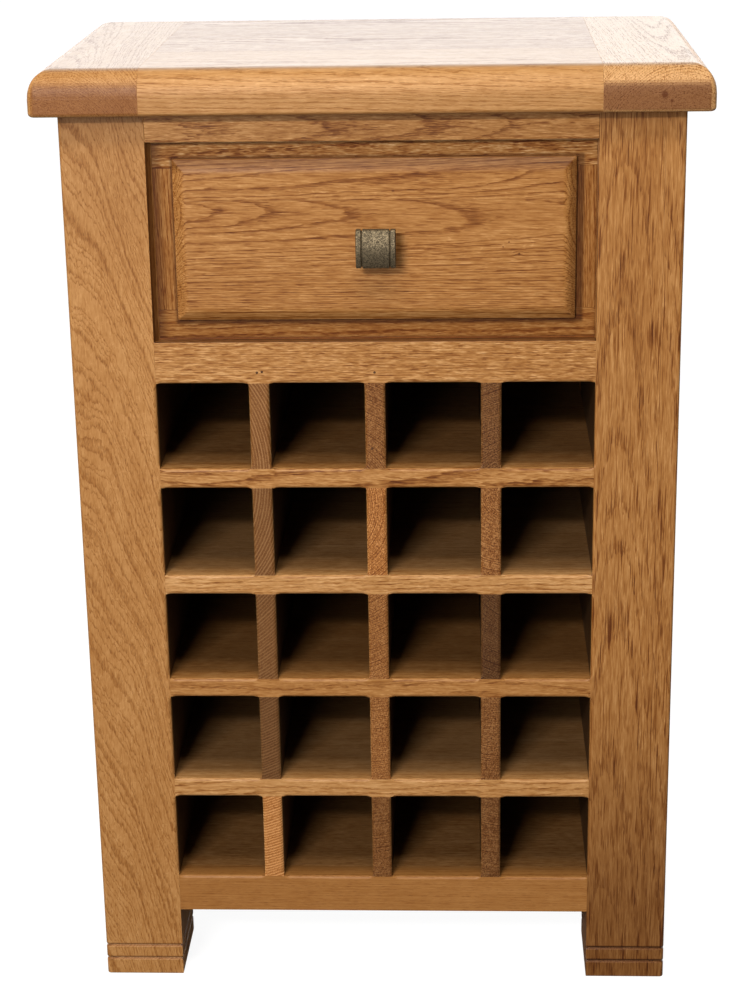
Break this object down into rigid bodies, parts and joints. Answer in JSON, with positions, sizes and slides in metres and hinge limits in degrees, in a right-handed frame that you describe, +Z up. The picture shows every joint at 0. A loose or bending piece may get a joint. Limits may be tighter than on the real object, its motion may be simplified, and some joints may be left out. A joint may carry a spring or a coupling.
{
  "type": "wine cabinet",
  "caption": "Free-standing oak wine cabinet with square posts, a sliding drawer under a moulded top, and an open rack of square bottle cells.",
  "frame": {"origin": "centre of the bounding box's base, on the floor between the four feet", "axes": "+Z up, -Y out of the front that the drawer opens through, +X to the right of someone facing the front"},
  "size_m": [0.668, 0.416, 1],
  "materials": {
    "lacquered_oak": "solid oak, honey stain under satin lacquer",
    "inner_oak": "solid oak, thin matt lacquer",
    "aged_brass": "hammered, aged brass with dark hollows",
    "screw_steel": "zinc-plated steel"
  },
  "bodies": {
    "cabinet": {"top_end_board_left": "lacquered_oak", "top_end_board_right": "lacquered_oak", "top_front_board": "lacquered_oak", "top_centre_board": "lacquered_oak", "top_rear_board": "lacquered_oak", "front_post_left": "lacquered_oak", "front_post_right": "lacquered_oak", "rear_post_left": "lacquered_oak", "rear_post_right": "lacquered_oak", "top_rail": "lacquered_oak", "middle_rail": "lacquered_oak", "bottom_rail": "lacquered_oak", "side_upper_rail_left": "lacquered_oak", "side_upper_rail_right": "lacquered_oak", "side_lower_rail_left": "lacquered_oak", "side_lower_rail_right": "lacquered_oak", "side_panel_left": "lacquered_oak", "side_panel_right": "lacquered_oak", "back_upper_rail": "lacquered_oak", "back_lower_rail": "lacquered_oak", "back_board_1": "inner_oak", "back_board_2": "inner_oak", "back_board_3": "inner_oak", "back_board_4": "inner_oak", "rack_lining_left": "inner_oak", "rack_lining_right": "inner_oak", "rack_top_board": "inner_oak", "rack_base_board": "inner_oak", "rack_shelf_1": "lacquered_oak", "rack_shelf_2": "lacquered_oak", "rack_shelf_3": "lacquered_oak", "rack_shelf_4": "lacquered_oak", "rack_divider_1": "lacquered_oak", "rack_divider_2": "lacquered_oak", "rack_divider_3": "lacquered_oak", "drawer_runner_left": "inner_oak", "drawer_runner_right": "inner_oak", "drawer_kicker_left": "inner_oak", "drawer_kicker_right": "inner_oak", "drawer_stop_left": "inner_oak", "drawer_stop_right": "inner_oak", "top_screw_front_left": "screw_steel", "top_screw_front_right": "screw_steel", "top_screw_rear_left": "screw_steel", "top_screw_rear_right": "screw_steel"},
    "drawer": {"drawer_front_top_rail": "lacquered_oak", "drawer_front_bottom_rail": "lacquered_oak", "drawer_front_stile_left": "lacquered_oak", "drawer_front_stile_right": "lacquered_oak", "drawer_raised_panel": "lacquered_oak", "drawer_side_left": "inner_oak", "drawer_side_right": "inner_oak", "drawer_back": "inner_oak", "drawer_bottom": "inner_oak", "drawer_knob": "aged_brass", "knob_screw": "screw_steel"}
  },
  "joints": [
    {"name": "drawer_slide", "type": "slide", "parent": "cabinet", "child": "drawer", "axis": [0, -1, 0], "range_m": [0, 0.26]}
  ]
}
